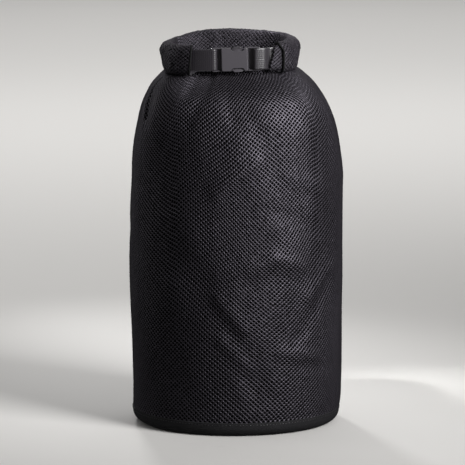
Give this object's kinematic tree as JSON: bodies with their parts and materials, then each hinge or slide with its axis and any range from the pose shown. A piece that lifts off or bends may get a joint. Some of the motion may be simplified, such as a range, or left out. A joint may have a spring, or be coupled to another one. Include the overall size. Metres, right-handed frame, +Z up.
{
  "type": "mesh stuff sack",
  "caption": "Round see-through mesh sack that stands on a cloth base, its mouth rolled shut and clipped into a ring by webbing and a side-release buckle, for storing and drying gear",
  "frame": {"origin": "centre of the sack's bounding box, on the surface that the base stands on", "axes": "+Z up along the sack, +X to the right and -Y to the front as the buckle is seen"},
  "size_m": [0.25, 0.25, 0.4555],
  "materials": {
    "mesh_cloth": "black warp-knitted polyester mesh with small round holes in staggered rows",
    "base_cloth": "black plain-woven polyester",
    "webbing": "black ribbed polyester webbing with a slight sheen",
    "buckle_plastic": "satin black moulded acetal"
  },
  "bodies": {
    "root": {"sack_body": "mesh_cloth", "base_panel": "base_cloth", "rolled_collar": "mesh_cloth", "strap_left": "webbing", "strap_right": "webbing", "buckle_socket": "buckle_plastic", "buckle_plug": "buckle_plastic"}
  },
  "joints": []
}
